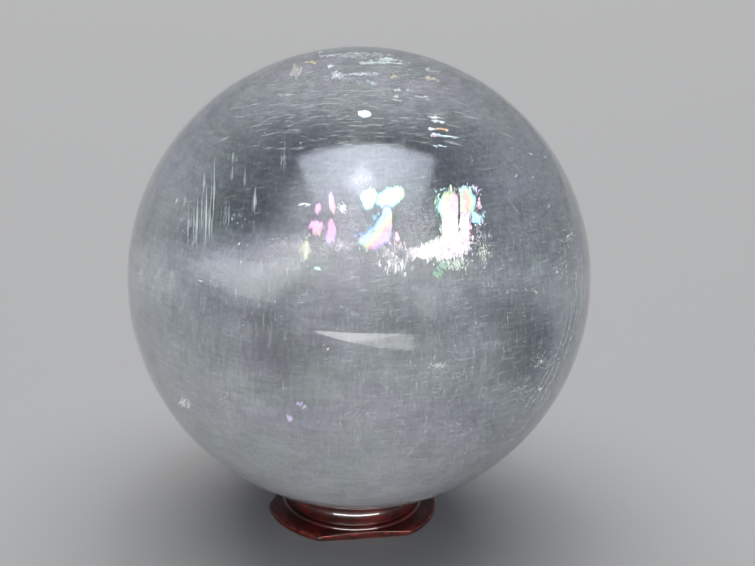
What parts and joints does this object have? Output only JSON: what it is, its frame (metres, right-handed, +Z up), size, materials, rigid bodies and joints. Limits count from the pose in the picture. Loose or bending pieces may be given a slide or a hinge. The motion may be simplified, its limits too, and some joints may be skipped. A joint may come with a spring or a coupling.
{
  "type": "calcite sphere on a ring stand",
  "caption": "Polished, half-clear ball of natural calcite resting in the dished seat of a small lacquered wooden ring stand with a beaded rim and a lobed foot.",
  "frame": {"origin": "on the table under the centre of the sphere, at the middle of the stand's foot", "axes": "+Z up, through the sphere's centre and the stand's bore; -Y towards the flat of the foot that faces the viewer"},
  "size_m": [0.084, 0.084, 0.0886],
  "materials": {
    "calcite": "polished",
    "lacquered_wood": "gloss"
  },
  "bodies": {
    "root": {"calcite_sphere": "calcite", "ring_stand": "lacquered_wood"}
  },
  "joints": []
}
